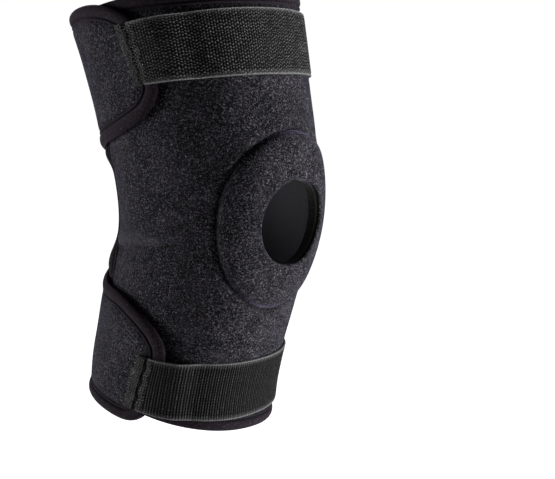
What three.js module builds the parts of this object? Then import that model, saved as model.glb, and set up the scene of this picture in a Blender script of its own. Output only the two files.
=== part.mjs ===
// A wrap-around knee sleeve, closed as it is worn on a right knee that is slightly bent.
// One neoprene sheet goes round the leg from its plain edge behind the outer side, over the
// kneecap and behind the knee, and ends in an upper and a lower flap that lap over its start.
// An elastic strap is sewn to each flap and runs on across the front to the back of the leg.
// Millimetres, +Z up, kneecap towards -Y, outer side of the leg towards -X. The origin is the
// middle of the hollow, level with the kneecap.
import * as THREE from "three";

// The hollow, which is the leg's own shape
const SLEEVE_HEIGHT = 277; // along the bent middle line of the leg
const KNEE_WIDTH = 121;
const KNEE_DEPTH = 125;
const KNEE_BEND = 23; // degrees between the two ends of the sleeve
const SECTION_POWER = 2.25; // 2 is an ellipse, and more is squarer

// The sheet
const NEOPRENE = 3.4;
const CLEARANCE = 0.3; // between any two pieces that meet
const PANEL_REACH = 140; // degrees from the kneecap to the plain edge
const NOTCH_END = 150; // degrees from the kneecap, the other way, to the end of the notch
const FLAP_TURN = 140; // degrees from the end of the notch to a flap's tip
const LAP_GAP = 1.9; // between the sheet's two layers, which leaves room for the binding

// The kneecap opening and the pad round it
const HOLE_WIDTH = 53;
const HOLE_HEIGHT = 57;
const PAD_WIDTH = 106;
const PAD_HEIGHT = 120;
const PAD_THICKNESS = 5.2;
const PAD_RIM = 1.3; // the pad's thickness at its outer edge
const SEAM_DEPTH = 0.6;

// The binding folded over the sheet's edge, which is pressed thin inside it
const BINDING_WIDTH = 7.6;
const BINDING_BULGE = 0.7; // how far it stands proud of the neoprene
const BINDING_TAPE = 1;
const FOLD_SLACK = 0.4; // inside the fold, on each side of the pressed edge
const MOUTH_SLACK = 0.6; // and at the binding's mouth
const PRESSED_EDGE = 1.2;

// The straps
const STRAP_WIDTH = 40;
const STRAP_THICKNESS = 1.6;
const STRAP_START = 277; // degrees, where it is sewn to the flap
const STRAP_END = 360 + NOTCH_END; // level with the end of the notch, once round
const HOOK_LENGTH = 44; // degrees of the patch under the strap's end
const HOOK_TAB = 5; // degrees of the patch beyond the strap's end
const HOOK_THICKNESS = 1.2;
const HOOK_MARGIN = 2;
const STRAP_CLEARANCE = 0.5; // a little more, as strap and sheet don't have the same facets

const COLOURS = {
  loopCloth: 0x2a2930,
  lining: 0x1b1b1e,
  binding: 0x29262c,
  elastic: 0x1a1c1e,
  hook: 0x151516,
};

// Sections of the hollow from the lower hem to the upper. Height is a share of the sleeve's
// height, halfWidth of the knee's width, and front, back and setBack of the knee's depth.
const SECTIONS = [
  { height: -0.48, halfWidth: 0.459, front: 0.468, back: 0.49, setBack: 0.152 },
  { height: -0.4, halfWidth: 0.463, front: 0.454, back: 0.498, setBack: 0.145 },
  { height: -0.3, halfWidth: 0.47, front: 0.455, back: 0.5, setBack: 0.117 },
  { height: -0.18, halfWidth: 0.486, front: 0.475, back: 0.493, setBack: 0.072 },
  { height: 0, halfWidth: 0.5, front: 0.516, back: 0.486, setBack: 0 },
  { height: 0.16, halfWidth: 0.516, front: 0.54, back: 0.51, setBack: 0.008 },
  { height: 0.34, halfWidth: 0.537, front: 0.54, back: 0.534, setBack: 0.04 },
  { height: 0.51, halfWidth: 0.572, front: 0.556, back: 0.562, setBack: 0.072 },
];

// The hems and the line halfway between them, up to the notch. Turn is in degrees from the
// kneecap towards the inner side of the leg, and heights are shares of the sleeve's height.
const HEMS = [
  { turn: -140, bottom: -0.472, middle: 0.027, top: 0.539 },
  { turn: -90, bottom: -0.471, middle: 0.02, top: 0.532 },
  { turn: -45, bottom: -0.478, middle: 0.01, top: 0.515 },
  { turn: 0, bottom: -0.491, middle: 0.01, top: 0.508 },
  { turn: 45, bottom: -0.502, middle: 0.01, top: 0.515 },
  { turn: 90, bottom: -0.508, middle: 0.02, top: 0.531 },
  { turn: 150, bottom: -0.509, middle: 0.036, top: 0.553 },
];

// The two edges of each flap. Along goes from 0 at the end of the notch to 1 at the flap's tip,
// the turns are shares of the flap's turn, and the heights of the sleeve's height.
const UPPER_FLAP = [
  { along: 0, edgeTurn: 0, edge: 0.036, hemTurn: 0, hem: 0.553 },
  { along: 0.03, edgeTurn: 0.018, edge: 0.06, hemTurn: 0.036, hem: 0.554 },
  { along: 0.08, edgeTurn: 0.05, edge: 0.088, hemTurn: 0.086, hem: 0.555 },
  { along: 0.2, edgeTurn: 0.18, edge: 0.125, hemTurn: 0.193, hem: 0.556 },
  { along: 0.4, edgeTurn: 0.393, edge: 0.174, hemTurn: 0.393, hem: 0.554 },
  { along: 0.6, edgeTurn: 0.6, edge: 0.205, hemTurn: 0.593, hem: 0.549 },
  { along: 0.75, edgeTurn: 0.757, edge: 0.226, hemTurn: 0.736, hem: 0.542 },
  { along: 0.87, edgeTurn: 0.871, edge: 0.249, hemTurn: 0.836, hem: 0.525 },
  { along: 0.94, edgeTurn: 0.939, edge: 0.267, hemTurn: 0.9, hem: 0.504 },
  { along: 1, edgeTurn: 0.996, edge: 0.307, hemTurn: 0.957, hem: 0.477 },
];
const LOWER_FLAP = [
  { along: 0, edgeTurn: 0, edge: 0.036, hemTurn: 0, hem: -0.509 },
  { along: 0.03, edgeTurn: 0.018, edge: 0.012, hemTurn: 0.036, hem: -0.509 },
  { along: 0.08, edgeTurn: 0.05, edge: -0.014, hemTurn: 0.086, hem: -0.509 },
  { along: 0.2, edgeTurn: 0.21, edge: -0.065, hemTurn: 0.193, hem: -0.509 },
  { along: 0.37, edgeTurn: 0.385, edge: -0.132, hemTurn: 0.393, hem: -0.507 },
  { along: 0.55, edgeTurn: 0.586, edge: -0.17, hemTurn: 0.571, hem: -0.504 },
  { along: 0.7, edgeTurn: 0.75, edge: -0.179, hemTurn: 0.714, hem: -0.502 },
  { along: 0.83, edgeTurn: 0.879, edge: -0.211, hemTurn: 0.843, hem: -0.5 },
  { along: 0.92, edgeTurn: 0.971, edge: -0.244, hemTurn: 0.921, hem: -0.493 },
  { along: 1, edgeTurn: 1.032, edge: -0.285, hemTurn: 0.989, hem: -0.468 },
];
const TIP_BULGE = 0.028; // share of the flap's turn

// Where each strap lies: its middle as a share of the sleeve's height, the slant of its sewn end
// in degrees, and the turn at which it leaves the flap's tip and comes down on the panel.
const STRAPS = {
  upper: { middle: 0.399, slant: -3, tip: 297 },
  lower: { middle: -0.385, slant: 5, tip: 303 },
};

// How finely the sheet is divided
const HALF_ROWS = 12; // from a hem to the middle line
const HOLE_CELLS = 3; // from the middle of the opening to its edge
const PAD_CELLS = 6; // from the middle of the opening to the pad's seam
const BLEND_CELLS = 9; // from there to where the grid is plain again
const COLUMN_TURN = 8;
const SIDE_COLUMNS = 10;
const FLAP_SHARES = [
  0.03, 0.08, 0.14, 0.2, 0.26, 0.32, 0.38, 0.44, 0.5, 0.56, 0.62, 0.68, 0.74, 0.8, 0.86, 0.92, 1,
];
const EDGE_BAND = BINDING_WIDTH + 1; // from an edge to where the neoprene has its full thickness

const radians = (degrees) => (degrees * Math.PI) / 180;
const mix = (a, b, t) => a + (b - a) * t;
const ease = (a, b, x) => {
  const t = Math.min(1, Math.max(0, (x - a) / (b - a)));
  return t * t * (3 - 2 * t);
};

// A smooth curve through one column of a table, read at x.
function curve(table, key, column, x) {
  const slope = (k) => {
    const before = table[Math.max(0, k - 1)];
    const after = table[Math.min(table.length - 1, k + 1)];
    return (after[column] - before[column]) / (after[key] - before[key]);
  };
  const at = Math.min(table[table.length - 1][key], Math.max(table[0][key], x));
  let k = 0;
  while (k < table.length - 2 && at > table[k + 1][key]) k += 1;
  const [a, b] = [table[k], table[k + 1]];
  const step = b[key] - a[key];
  const t = (at - a[key]) / step;
  const rise = t * t * (3 - 2 * t);
  const leaving = t * (1 - t) * (1 - t) * step * slope(k);
  const arriving = t * t * (1 - t) * step * slope(k + 1);
  return mix(a[column], b[column], rise) + leaving - arriving;
}

const BEND_RADIUS = SLEEVE_HEIGHT / radians(KNEE_BEND);

// Distance from the leg's middle line to the hollow's wall.
function wallRadius(turn, height) {
  const share = height / SLEEVE_HEIGHT;
  const side = curve(SECTIONS, "height", "halfWidth", share) * KNEE_WIDTH;
  const column = Math.cos(radians(turn)) > 0 ? "front" : "back";
  const depth = curve(SECTIONS, "height", column, share) * KNEE_DEPTH;
  const across = Math.abs(Math.sin(radians(turn)) / side) ** SECTION_POWER;
  const along = Math.abs(Math.cos(radians(turn)) / depth) ** SECTION_POWER;
  return (across + along) ** (-1 / SECTION_POWER);
}

// A point that lies out from the hollow's wall by offset. Sections stand square to the leg's
// middle line, which is an arc whose centre is behind the knee.
function place(turn, height, offset) {
  const radius = wallRadius(turn, height) + offset;
  const tilt = height / BEND_RADIUS;
  const setBack = curve(SECTIONS, "height", "setBack", height / SLEEVE_HEIGHT) * KNEE_DEPTH;
  const y = setBack - radius * Math.cos(radians(turn));
  return [
    radius * Math.sin(radians(turn)),
    BEND_RADIUS * (1 - Math.cos(tilt)) + y * Math.cos(tilt),
    BEND_RADIUS * Math.sin(tilt) - y * Math.sin(tilt),
  ];
}

// Millimetres on the wall for one degree of turn, and for one millimetre of height.
function wallScale(turn, height) {
  const radius = wallRadius(turn, height);
  return { turn: radians(radius), height: 1 + (radius * Math.cos(radians(turn))) / BEND_RADIUS };
}

function wallDistance(a, b) {
  const scale = wallScale(mix(a.turn, b.turn, 0.5), mix(a.height, b.height, 0.5));
  return Math.hypot((b.turn - a.turn) * scale.turn, (b.height - a.height) * scale.height);
}

const between = (a, b, t) => ({ turn: mix(a.turn, b.turn, t), height: mix(a.height, b.height, t) });

// The sheet is a grid of columns round the leg. Each column has its two hems and, between them,
// the middle line or, past the end of the notch, the edges of the two flaps.
function panelColumn(turn) {
  const at = (column) => ({ turn, height: curve(HEMS, "turn", column, turn) * SLEEVE_HEIGHT });
  return { bottom: at("bottom"), low: at("middle"), high: at("middle"), top: at("top") };
}

function flapColumn(along) {
  const read = (table, turn, height) => ({
    turn: NOTCH_END + curve(table, "along", turn, along) * FLAP_TURN,
    height: curve(table, "along", height, along) * SLEEVE_HEIGHT,
  });
  return {
    bottom: read(LOWER_FLAP, "hemTurn", "hem"),
    low: read(LOWER_FLAP, "edgeTurn", "edge"),
    high: read(UPPER_FLAP, "edgeTurn", "edge"),
    top: read(UPPER_FLAP, "hemTurn", "hem"),
    bulge: TIP_BULGE * FLAP_TURN * ease(0.8, 1, along),
  };
}

const plainEdge = { turn: -PANEL_REACH, height: 0 };
const bandTurn = EDGE_BAND / wallScale(plainEdge.turn, plainEdge.height).turn;
const frontTurn = BLEND_CELLS * COLUMN_TURN;
const evenly = (from, to, count) => Array.from({ length: count }, (_, k) => mix(from, to, k / count));
const panelTurns = [
  -PANEL_REACH,
  ...evenly(bandTurn - PANEL_REACH, -frontTurn, SIDE_COLUMNS),
  ...evenly(-frontTurn, frontTurn, 2 * BLEND_CELLS),
  ...evenly(frontTurn, NOTCH_END, SIDE_COLUMNS),
  NOTCH_END,
];
const tipBand = 1 - EDGE_BAND / (FLAP_TURN * wallScale(NOTCH_END + FLAP_TURN, 0).turn);
const flapShares = [...FLAP_SHARES.filter((share) => share < tipBand - 0.02), tipBand, 1];
const columns = [...panelTurns.map(panelColumn), ...flapShares.map(flapColumn)];
const notchColumn = panelTurns.length - 1;
const frontColumn = panelTurns.indexOf(0);

// Point k of the row of points from a hem to the middle line, with a band along each edge.
function crossing(hem, middle, k) {
  const band = EDGE_BAND / wallDistance(hem, middle);
  const share = band + ((1 - 2 * band) * (k - 1)) / (HALF_ROWS - 2);
  if (k === 0) return hem;
  return between(hem, middle, k === HALF_ROWS ? 1 : share);
}

function plainPoint(i, j, upper) {
  const column = columns[i];
  const k = upper ? 2 * HALF_ROWS - j : j;
  const point = upper ? crossing(column.top, column.high, k) : crossing(column.bottom, column.low, k);
  const across = k / HALF_ROWS;
  return { ...point, turn: point.turn + (column.bulge ?? 0) * 4 * across * (1 - across) };
}

// Squares of cells round the middle of the opening are drawn out to ellipses, so that the
// opening's edge and the pad's seam each follow one.
const cellsFromHole = (i, j) => Math.max(Math.abs(i - frontColumn), Math.abs(j - HALF_ROWS));

function ovalPoint(i, j) {
  const [across, up] = [i - frontColumn, j - HALF_ROWS];
  const ring = cellsFromHole(i, j);
  const quarter = Math.PI / 4;
  const angle =
    Math.abs(across) >= Math.abs(up)
      ? (across > 0 ? 0 : Math.PI) + quarter * (up / across)
      : Math.sign(up) * 2 * quarter - quarter * (across / up);
  const outwards = (ring - HOLE_CELLS) / (PAD_CELLS - HOLE_CELLS);
  const middle = columns[frontColumn].low;
  const scale = wallScale(0, middle.height);
  const width = mix(HOLE_WIDTH, PAD_WIDTH, outwards) / 2;
  const height = mix(HOLE_HEIGHT, PAD_HEIGHT, outwards) / 2;
  return {
    turn: (width * Math.cos(angle)) / scale.turn,
    height: middle.height + (height * Math.sin(angle)) / scale.height,
  };
}

function sheetPoint(i, j, upper) {
  const plain = plainPoint(i, j, upper);
  const ring = cellsFromHole(i, j);
  if (ring >= BLEND_CELLS || ring < HOLE_CELLS) return plain;
  return between(ovalPoint(i, j), plain, ease(PAD_CELLS + 1, BLEND_CELLS, ring));
}

// Every point of the sheet has a name. Past the notch the middle row has a point on each flap.
const sheetName = (i, j, upper) => `${i}/${j}${j === HALF_ROWS && i > notchColumn ? upper : ""}`;
const sheetPoints = new Map();
const sheetCells = [];
const padCells = [];
for (let i = 0; i < columns.length - 1; i += 1)
  for (let j = 0; j < 2 * HALF_ROWS; j += 1) {
    const upper = j >= HALF_ROWS;
    const corners = [[i, j], [i + 1, j], [i + 1, j + 1], [i, j + 1]];
    const ring = Math.max(...corners.map((corner) => cellsFromHole(...corner)));
    if (ring <= HOLE_CELLS) continue;
    const cell = corners.map(([a, b]) => {
      const name = sheetName(a, b, upper);
      if (!sheetPoints.has(name)) {
        sheetPoints.set(name, { ...sheetPoint(a, b, upper), ring: cellsFromHole(a, b) });
      }
      return name;
    });
    sheetCells.push(cell);
    if (ring <= PAD_CELLS) padCells.push(cell);
  }

// The directed edges that only one cell has, as a map from each point to the next.
function openEdges(cells) {
  const edges = new Set(cells.flatMap((cell) => cell.map((name, k) => `${name} ${cell[(k + 1) % 4]}`)));
  const open = [...edges].map((edge) => edge.split(" ")).filter(([a, b]) => !edges.has(`${b} ${a}`));
  return new Map(open);
}

// The sheet's outline, which is the loop of open edges through its lowest plain corner.
const sheetEdges = openEdges(sheetCells);
const outline = [sheetName(0, 0)];
while (sheetEdges.get(outline.at(-1)) !== outline[0]) outline.push(sheetEdges.get(outline.at(-1)));

// Millimetres along the wall from a point of the sheet to the sheet's nearest edge.
function edgeDistance(point) {
  const scale = wallScale(point.turn, point.height);
  const local = outline.map((name) => {
    const edge = sheetPoints.get(name);
    return [(edge.turn - point.turn) * scale.turn, (edge.height - point.height) * scale.height];
  });
  const distances = local.map(([x, y], k) => {
    const next = local[(k + 1) % local.length];
    const side = [next[0] - x, next[1] - y];
    const t = -(x * side[0] + y * side[1]) / (side[0] ** 2 + side[1] ** 2);
    const near = Math.min(1, Math.max(0, t));
    return Math.hypot(x + near * side[0], y + near * side[1]);
  });
  return Math.min(...distances);
}

// How far the sheet's inner face stands off the leg: over the pad, and where the flaps lap over.
const LAP = NEOPRENE + LAP_GAP;
const lapLift = (turn) => LAP * ease(NOTCH_END + 4, 360 - PANEL_REACH - 6, turn);

function padLift(ring) {
  const crown = [1, 1.04, 0.86];
  if (ring < HOLE_CELLS || ring > PAD_CELLS) return 0;
  if (ring === PAD_CELLS) return PAD_RIM + CLEARANCE;
  return PAD_THICKNESS * crown[ring - HOLE_CELLS] + CLEARANCE;
}

// A closed solid from a grid of cells, with its inner and outer faces given by two functions.
function layer(cells, points, inner, outer) {
  const index = new Map();
  const positions = [];
  const vertex = (name, face) => {
    const key = `${name} ${face}`;
    if (!index.has(key)) {
      const point = points.get(name);
      const offset = face === "outer" ? outer(point) : inner(point);
      index.set(key, positions.length / 3);
      positions.push(...place(point.turn, point.height, offset));
    }
    return index.get(key);
  };
  const triangles = [];
  const quad = (a, b, c, d) => triangles.push(a, b, c, a, c, d);
  for (const cell of cells) {
    quad(...cell.map((name) => vertex(name, "outer")));
    const [a, b, c, d] = cell.map((name) => vertex(name, "inner"));
    quad(a, d, c, b);
  }
  for (const [a, b] of openEdges(cells)) {
    quad(vertex(b, "outer"), vertex(a, "outer"), vertex(a, "inner"), vertex(b, "inner"));
  }
  return closedGeometry(positions, triangles);
}

function closedGeometry(positions, triangles) {
  const geometry = new THREE.BufferGeometry();
  geometry.setAttribute("position", new THREE.Float32BufferAttribute(positions, 3));
  geometry.setIndex(triangles);
  geometry.computeVertexNormals();
  return geometry;
}

// The neoprene sheet with its two flaps, cut through at the kneecap and the back of the knee
function wrapSheet() {
  const middle = (point) => lapLift(point.turn) + padLift(point.ring) + NEOPRENE / 2;
  const half = (point) => mix(PRESSED_EDGE, NEOPRENE, Math.min(1, edgeDistance(point) / EDGE_BAND)) / 2;
  const seam = (point) => (point.ring === PAD_CELLS ? SEAM_DEPTH : 0);
  return layer(
    sheetCells,
    sheetPoints,
    (point) => middle(point) - half(point),
    (point) => middle(point) + half(point) - seam(point),
  );
}

// The ring pad behind the sheet, round the kneecap
function kneecapPad() {
  return layer(padCells, sheetPoints, () => 0, (point) => padLift(point.ring) - CLEARANCE);
}

// The tape folded over the sheet's whole outline, a channel with the pressed edge inside it
function edgeBinding() {
  const outside = NEOPRENE / 2 + BINDING_BULGE;
  const mouth = mix(PRESSED_EDGE, NEOPRENE, BINDING_WIDTH / EDGE_BAND) / 2 + MOUTH_SLACK;
  const fold = PRESSED_EDGE / 2 + FOLD_SLACK;
  const half = [
    [BINDING_WIDTH, outside],
    [BINDING_TAPE, outside],
    [-CLEARANCE - BINDING_TAPE, outside - BINDING_TAPE],
  ];
  const inside = [
    [-CLEARANCE, fold],
    [BINDING_WIDTH, mouth],
  ];
  const mirrored = (points) => points.map(([inwards, out]) => [inwards, -out]).reverse();
  const section = [...half, ...mirrored(half), ...mirrored(inside), ...inside];

  const points = outline.map((name) => sheetPoints.get(name));
  const count = points.length;
  const inward = points.map((point, k) => {
    const next = points[(k + 1) % count];
    const scale = wallScale(point.turn, point.height);
    const step = [(next.turn - point.turn) * scale.turn, (next.height - point.height) * scale.height];
    const length = Math.hypot(...step);
    return [-step[1] / length, step[0] / length];
  });
  const positions = [];
  points.forEach((point, k) => {
    const [before, after] = [inward[(k + count - 1) % count], inward[k]];
    const sum = [before[0] + after[0], before[1] + after[1]];
    const mitre = 2 / (sum[0] ** 2 + sum[1] ** 2);
    const scale = wallScale(point.turn, point.height);
    for (const [inwards, out] of section) {
      const turn = point.turn + (inwards * mitre * sum[0]) / scale.turn;
      const height = point.height + (inwards * mitre * sum[1]) / scale.height;
      positions.push(...place(turn, height, lapLift(turn) + NEOPRENE / 2 + out));
    }
  });
  const triangles = [];
  for (let k = 0; k < count; k += 1)
    for (let m = 0; m < section.length; m += 1) {
      const corner = (a, b) => (a % count) * section.length + (b % section.length);
      triangles.push(corner(k, m), corner(k, m + 1), corner(k + 1, m + 1));
      triangles.push(corner(k, m), corner(k + 1, m + 1), corner(k + 1, m));
    }
  return closedGeometry(positions, triangles);
}

// A band round the leg between two heights, through the given turns
function bandGrid(turns, heights, slant) {
  const points = new Map();
  const cells = [];
  turns.forEach((turn, i) =>
    heights.forEach((height, j) => {
      const lean = (slant * (j / (heights.length - 1) - 0.5) * (turns.length - 1 - i)) / (turns.length - 1);
      points.set(`${i}/${j}`, { turn: turn + lean, height });
      if (i > 0 && j > 0) cells.push([`${i - 1}/${j - 1}`, `${i}/${j - 1}`, `${i}/${j}`, `${i - 1}/${j}`]);
    }),
  );
  return { cells, points };
}

const HOOK_START = STRAP_END + HOOK_TAB - HOOK_LENGTH;
const strapHeights = (strap) =>
  [-0.5, 0, 0.5].map((share) => strap.middle * SLEEVE_HEIGHT + share * STRAP_WIDTH);

// How far what lies under a strap stands off the leg: the flap and its bound tip, then the
// panel, or the hem's binding where the strap runs over it
function underStrap(strap, { turn, height }) {
  const face = (layerTurn) => {
    const fromBinding = edgeDistance({ turn: layerTurn, height }) - BINDING_WIDTH;
    return NEOPRENE + BINDING_BULGE * (1 - ease(0, 4, fromBinding));
  };
  const pastTip = ease(strap.tip, strap.tip + 16, turn);
  return mix(LAP + face(Math.min(turn, strap.tip)), face(turn - 360), pastTip);
}

function elasticStrap(strap) {
  const turns = [
    ...[0, 4, 8, 14].map((step) => STRAP_START + step),
    ...[0, 4, 8, 12, 16].map((step) => strap.tip + step),
  ];
  turns.push(...evenly(strap.tip + 24, HOOK_START - 10, 14), HOOK_START - 10, HOOK_START - 2);
  turns.push(...evenly(HOOK_START + 6, STRAP_END, 4), STRAP_END);
  const { cells, points } = bandGrid(turns, strapHeights(strap), 0);
  for (const point of points.values()) {
    const share = (point.height / SLEEVE_HEIGHT - strap.middle) * (SLEEVE_HEIGHT / STRAP_WIDTH);
    point.turn += strap.slant * share * (1 - ease(STRAP_START, strap.tip, point.turn));
  }
  const lift = (point) =>
    underStrap(strap, point) +
    STRAP_CLEARANCE +
    (HOOK_THICKNESS + CLEARANCE) * ease(HOOK_START - 10, HOOK_START - 2, point.turn);
  return layer(cells, points, lift, (point) => lift(point) + STRAP_THICKNESS);
}

// The patch of hook fastener under the strap's end, which holds it on the loop cloth
function hookPatch(strap) {
  const turns = [...evenly(HOOK_START, STRAP_END + HOOK_TAB, 6), STRAP_END + HOOK_TAB];
  const [low, middle, high] = strapHeights(strap);
  const heights = [low + HOOK_MARGIN, middle, high - HOOK_MARGIN];
  const { cells, points } = bandGrid(turns, heights, 0);
  const under = (point) => underStrap(strap, point) + STRAP_CLEARANCE;
  return layer(cells, points, under, (point) => under(point) + HOOK_THICKNESS);
}

function material(color, roughness) {
  return new THREE.MeshStandardMaterial({ color, roughness, metalness: 0 });
}

const sleeve = new THREE.Group();
function add(name, geometry, color, roughness) {
  const mesh = new THREE.Mesh(geometry, material(color, roughness));
  mesh.name = name;
  sleeve.add(mesh);
}

add("neoprene_wrap", wrapSheet(), COLOURS.loopCloth, 0.95);
add("kneecap_pad", kneecapPad(), COLOURS.lining, 0.9);
add("edge_binding", edgeBinding(), COLOURS.binding, 0.8);
for (const [name, strap] of Object.entries(STRAPS)) {
  add(`${name}_strap`, elasticStrap(strap), COLOURS.elastic, 0.75);
  add(`${name}_hook_patch`, hookPatch(strap), COLOURS.hook, 0.7);
}

export default sleeve;
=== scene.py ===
import bpy
import numpy as np
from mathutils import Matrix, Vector


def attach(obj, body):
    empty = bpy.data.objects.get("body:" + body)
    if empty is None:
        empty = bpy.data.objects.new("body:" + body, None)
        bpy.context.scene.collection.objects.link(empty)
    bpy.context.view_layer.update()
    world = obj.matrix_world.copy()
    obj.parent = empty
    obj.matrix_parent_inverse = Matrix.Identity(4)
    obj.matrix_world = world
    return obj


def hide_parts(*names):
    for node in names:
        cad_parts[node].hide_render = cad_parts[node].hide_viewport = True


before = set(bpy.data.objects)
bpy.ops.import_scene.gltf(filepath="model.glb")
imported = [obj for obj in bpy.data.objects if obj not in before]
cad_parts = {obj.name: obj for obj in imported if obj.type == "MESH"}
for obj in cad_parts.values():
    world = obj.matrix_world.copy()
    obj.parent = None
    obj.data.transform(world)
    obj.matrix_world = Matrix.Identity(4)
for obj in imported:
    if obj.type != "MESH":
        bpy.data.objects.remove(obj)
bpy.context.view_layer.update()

# The camera. It stands 0.8 m from the knee on its outer front side, a little above it, with a short
# telephoto lens, and it looks past the sleeve, so that the sleeve is left of the picture's middle.
CAMERA_DISTANCE = 0.8
LENS = 74.1  # millimetres
AIMED_RIGHT, AIMED_DOWN = 0.0500, 0.0158  # of the knee
camera_turn, camera_rise = np.radians(46), np.radians(7)
knee = Vector((0, 0.010, 0))
backwards = Vector(
    (
        -np.sin(camera_turn) * np.cos(camera_rise),
        -np.cos(camera_turn) * np.cos(camera_rise),
        np.sin(camera_rise),
    )
)
rightwards = Vector((np.cos(camera_turn), -np.sin(camera_turn), 0))
upwards = backwards.cross(rightwards)
looked_at = knee + AIMED_RIGHT * rightwards - AIMED_DOWN * upwards
camera = bpy.data.objects.new("camera", bpy.data.cameras.new("camera"))
camera.data.lens = LENS
camera.location = knee + CAMERA_DISTANCE * backwards
camera.rotation_euler = (camera.location - looked_at).to_track_quat("Z", "Y").to_euler()
bpy.context.collection.objects.link(camera)
bpy.context.scene.camera = camera
bpy.context.scene.view_settings.view_transform = "Standard"


# The wrap. One sheet of 3.4 mm neoprene with brushed loop cloth outside and a knitted lining inside.
# It goes round the leg from a plain edge behind the outer side, and ends in an upper and a lower flap
# that lap over its start. It is cut through at the kneecap, and its surface shows the pad beneath.
SLEEVE_HEIGHT = 0.277  # along the bent middle line of the leg
KNEE_WIDTH = 0.121
KNEE_DEPTH = 0.125
BEND_RADIUS = SLEEVE_HEIGHT / np.radians(23)
SECTION_POWER = 2.25
NEOPRENE = 0.0034
PRESSED_EDGE = 0.0014  # the thickness inside the binding
LAP = NEOPRENE + 0.0019  # how far the flaps stand off the leg
PANEL_REACH = 140  # degrees from the kneecap to the plain edge
NOTCH_END = 150  # degrees from the kneecap, the other way, to the end of the notch
FLAP_TURN = 140  # degrees from there to a flap's tip
TIP_BULGE = 0.028  # share of the flap's turn
OPENING_WIDTH, OPENING_HEIGHT = 0.053, 0.057
PAD_WIDTH, PAD_HEIGHT = 0.106, 0.120
SEAM_DEPTH = 0.0017
RIM_RADIUS = 0.0012  # of the opening's rounded edge
CURL_TURN, CURL_LIFT = 8, 0.0042  # how far the plain edge goes on and stands off where it curls
WAVE_HEIGHT = 0.00016
CREASE_DEPTH, FOLD_HEIGHT = 0.0030, 0.0022
CREASE_TURN, CREASE_HEIGHT, CREASE_RISE = -64, -0.0080, 0.0002  # where it is, and metres per degree

# Height, half width, depth in front, depth behind and set-back of the leg's sections
SECTIONS = np.array(
    [
        [-0.48, 0.459, 0.468, 0.490, 0.152],
        [-0.40, 0.463, 0.454, 0.498, 0.145],
        [-0.30, 0.470, 0.455, 0.500, 0.117],
        [-0.18, 0.486, 0.475, 0.493, 0.072],
        [0.00, 0.500, 0.516, 0.486, 0.000],
        [0.16, 0.516, 0.540, 0.510, 0.008],
        [0.34, 0.537, 0.540, 0.534, 0.040],
        [0.51, 0.572, 0.556, 0.562, 0.072],
    ]
)
# Turn from the kneecap towards the inner side, and the heights of lower hem, middle line and upper hem
HEMS = np.array(
    [
        [-140, -0.472, 0.027, 0.539],
        [-90, -0.471, 0.020, 0.532],
        [-45, -0.478, 0.010, 0.515],
        [0, -0.491, 0.010, 0.508],
        [45, -0.502, 0.010, 0.515],
        [90, -0.508, 0.020, 0.531],
        [150, -0.509, 0.036, 0.553],
    ]
)
# Way along the flap, then turn and height of its inner edge, and turn and height of its hem
UPPER_FLAP = np.array(
    [
        [0.00, 0.000, 0.036, 0.000, 0.553],
        [0.03, 0.018, 0.060, 0.036, 0.554],
        [0.08, 0.050, 0.088, 0.086, 0.555],
        [0.20, 0.180, 0.125, 0.193, 0.556],
        [0.40, 0.393, 0.174, 0.393, 0.554],
        [0.60, 0.600, 0.205, 0.593, 0.549],
        [0.75, 0.757, 0.226, 0.736, 0.542],
        [0.87, 0.871, 0.249, 0.836, 0.525],
        [0.94, 0.939, 0.267, 0.900, 0.504],
        [1.00, 0.996, 0.307, 0.957, 0.477],
    ]
)
LOWER_FLAP = np.array(
    [
        [0.00, 0.000, 0.036, 0.000, -0.509],
        [0.03, 0.018, 0.012, 0.036, -0.509],
        [0.08, 0.050, -0.014, 0.086, -0.509],
        [0.20, 0.210, -0.065, 0.193, -0.509],
        [0.37, 0.385, -0.132, 0.393, -0.507],
        [0.55, 0.586, -0.170, 0.571, -0.504],
        [0.70, 0.750, -0.179, 0.714, -0.502],
        [0.83, 0.879, -0.211, 0.843, -0.500],
        [0.92, 0.971, -0.244, 0.921, -0.493],
        [1.00, 1.032, -0.285, 0.989, -0.468],
    ]
)


def curve(table, column, at):
    """One column of a table as a smooth curve of its first column: between two rows it is the cubic
    whose slope at each row is that of the line through the rows before and after it."""
    knots, values = table[:, 0], table[:, column]
    rows = np.arange(len(knots))
    before, after = np.maximum(rows - 1, 0), np.minimum(rows + 1, len(knots) - 1)
    slopes = (values[after] - values[before]) / (knots[after] - knots[before])
    at = np.clip(at, knots[0], knots[-1])
    k = np.clip(np.searchsorted(knots, at) - 1, 0, len(knots) - 2)
    step = knots[k + 1] - knots[k]
    t = (at - knots[k]) / step
    rise = t * t * (3 - 2 * t)
    bend = t * (1 - t) ** 2 * slopes[k] - t * t * (1 - t) * slopes[k + 1]
    return values[k] + (values[k + 1] - values[k]) * rise + step * bend


def ease(start, end, at):
    """0 before start and 1 after end, with the curve 3 t^2 - 2 t^3 between them."""
    t = np.clip((at - start) / (end - start), 0, 1)
    return t * t * (3 - 2 * t)


def wall_radius(turn, height):
    """Distance from the leg's middle line to its skin. The section is a rounded ellipse: half width
    and depth give the radius as (|sin/width|^p + |cos/depth|^p)^(-1/p), with p a little over 2."""
    share = height / SLEEVE_HEIGHT
    sine, cosine = np.sin(np.radians(turn)), np.cos(np.radians(turn))
    width = curve(SECTIONS, 1, share) * KNEE_WIDTH
    depth = np.where(cosine > 0, curve(SECTIONS, 2, share), curve(SECTIONS, 3, share)) * KNEE_DEPTH
    across, along = np.abs(sine / width), np.abs(cosine / depth)
    return (across**SECTION_POWER + along**SECTION_POWER) ** (-1 / SECTION_POWER)


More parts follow.
